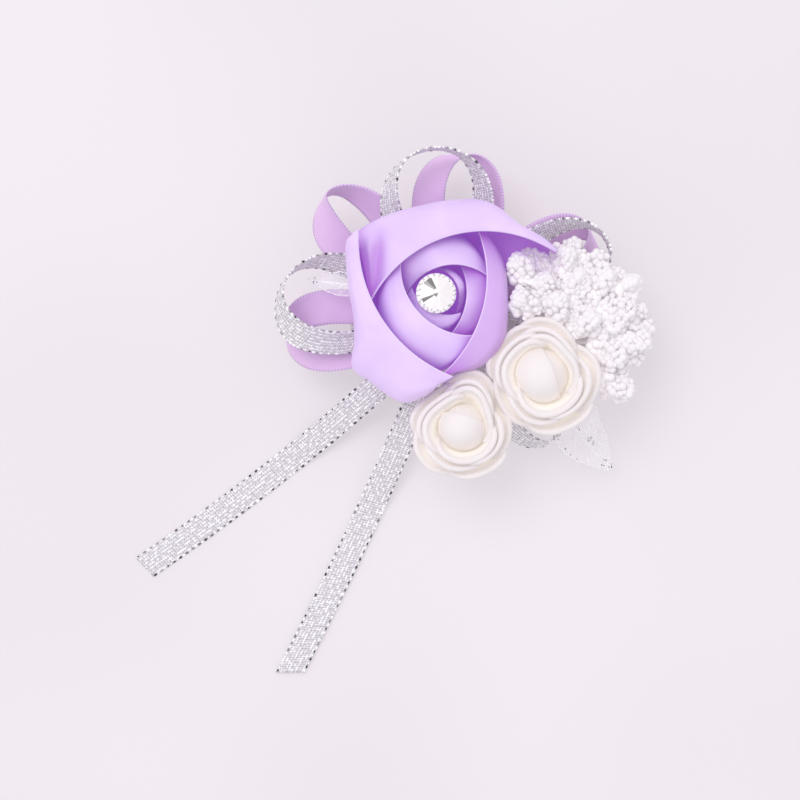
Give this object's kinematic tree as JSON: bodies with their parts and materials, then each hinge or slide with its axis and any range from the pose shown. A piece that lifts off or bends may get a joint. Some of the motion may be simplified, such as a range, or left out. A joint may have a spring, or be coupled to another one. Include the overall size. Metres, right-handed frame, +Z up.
{
  "type": "wrist corsage",
  "caption": "Wrist corsage: a folded satin rose with a crystal, foam roses, filler sprigs, clear leaves and ribbon loops with loose tails, on an elastic wristband.",
  "frame": {"origin": "middle of the underside of the wristband's lower run, on the table", "axes": "+Z up out of the face of the flowers, +X to the right of the picture, +Y to its top; the wrist goes through the band along Y"},
  "size_m": [0.1487, 0.1514, 0.0425],
  "materials": {
    "elastic": "knitted",
    "felt": "matte",
    "rose_satin": "satin",
    "rose_satin_shade": "matte",
    "lilac_ribbon": "satin",
    "silver_ribbon": "metallic thread",
    "rhinestone": "faceted, foil backed",
    "ivory_foam": "matte",
    "floral_tape": "matte",
    "white_filler": "matte",
    "clear_film": "clear"
  },
  "bodies": {
    "head": {"band_upper_run": "elastic", "band_bend_right": "elastic", "band_bend_left": "elastic", "felt_backing": "felt", "felt_patch": "felt", "rose_base": "rose_satin_shade", "bow_knot": "silver_ribbon", "tail_fold": "silver_ribbon", "silver_loop_left": "silver_ribbon", "silver_loop_top": "silver_ribbon", "silver_loop_right": "silver_ribbon", "silver_loop_lower": "silver_ribbon", "satin_loop_upper_left": "lilac_ribbon", "satin_loop_top": "lilac_ribbon", "satin_loop_right": "lilac_ribbon", "satin_loop_lower_left": "lilac_ribbon", "rose_fold_1": "rose_satin", "rose_fold_2": "rose_satin", "rose_fold_3": "rose_satin", "rose_fold_4": "rose_satin", "rose_fold_5": "rose_satin", "rose_fold_6": "rose_satin", "rose_fold_7": "rose_satin", "rose_fold_8": "rose_satin", "rose_bud": "rose_satin", "crystal": "rhinestone", "foam_rose_1_outer_petals": "ivory_foam", "foam_rose_1_middle_petals": "ivory_foam", "foam_rose_1_inner_petals": "ivory_foam", "foam_rose_1_bud": "ivory_foam", "foam_rose_2_outer_petals": "ivory_foam", "foam_rose_2_middle_petals": "ivory_foam", "foam_rose_2_inner_petals": "ivory_foam", "foam_rose_2_bud": "ivory_foam", "stem_bundle": "floral_tape", "foam_rose_1_wire": "floral_tape", "foam_rose_2_wire": "floral_tape", "filler_sprig_1": "white_filler", "filler_sprig_2": "white_filler", "filler_sprig_3": "white_filler", "filler_sprig_4": "white_filler", "filler_sprig_5": "white_filler", "filler_sprig_6": "white_filler", "filler_sprig_7": "white_filler", "filler_sprig_8": "white_filler", "filler_sprig_9": "white_filler", "filler_sprig_10": "white_filler", "filler_sprig_11": "white_filler", "filler_sprig_12": "white_filler", "filler_sprig_13": "white_filler", "filler_stem": "white_filler", "clear_leaf_1": "clear_film", "clear_leaf_2": "clear_film", "clear_leaf_3": "clear_film"},
    "band_lower": {"band_lower_run": "elastic"},
    "tail_left": {"tail_left": "silver_ribbon"},
    "tail_right": {"tail_right": "silver_ribbon"}
  },
  "joints": [
    {"name": "band_stretch", "type": "slide", "parent": "head", "child": "band_lower", "axis": [0, 0, -1], "range_m": [0, 0.03], "stiffness_N_per_m": 120, "deforming": ["band_bend_right", "band_bend_left"]},
    {"name": "tail_left_swing", "type": "hinge", "parent": "head", "child": "tail_left", "pos_m": [-0.006, -0.001, 0.0148], "axis": [0, 0, 1], "range_deg": [-12, 20]},
    {"name": "tail_right_swing", "type": "hinge", "parent": "head", "child": "tail_right", "pos_m": [-0.006, -0.001, 0.0155], "axis": [0, 0, 1], "range_deg": [-20, 15]}
  ]
}
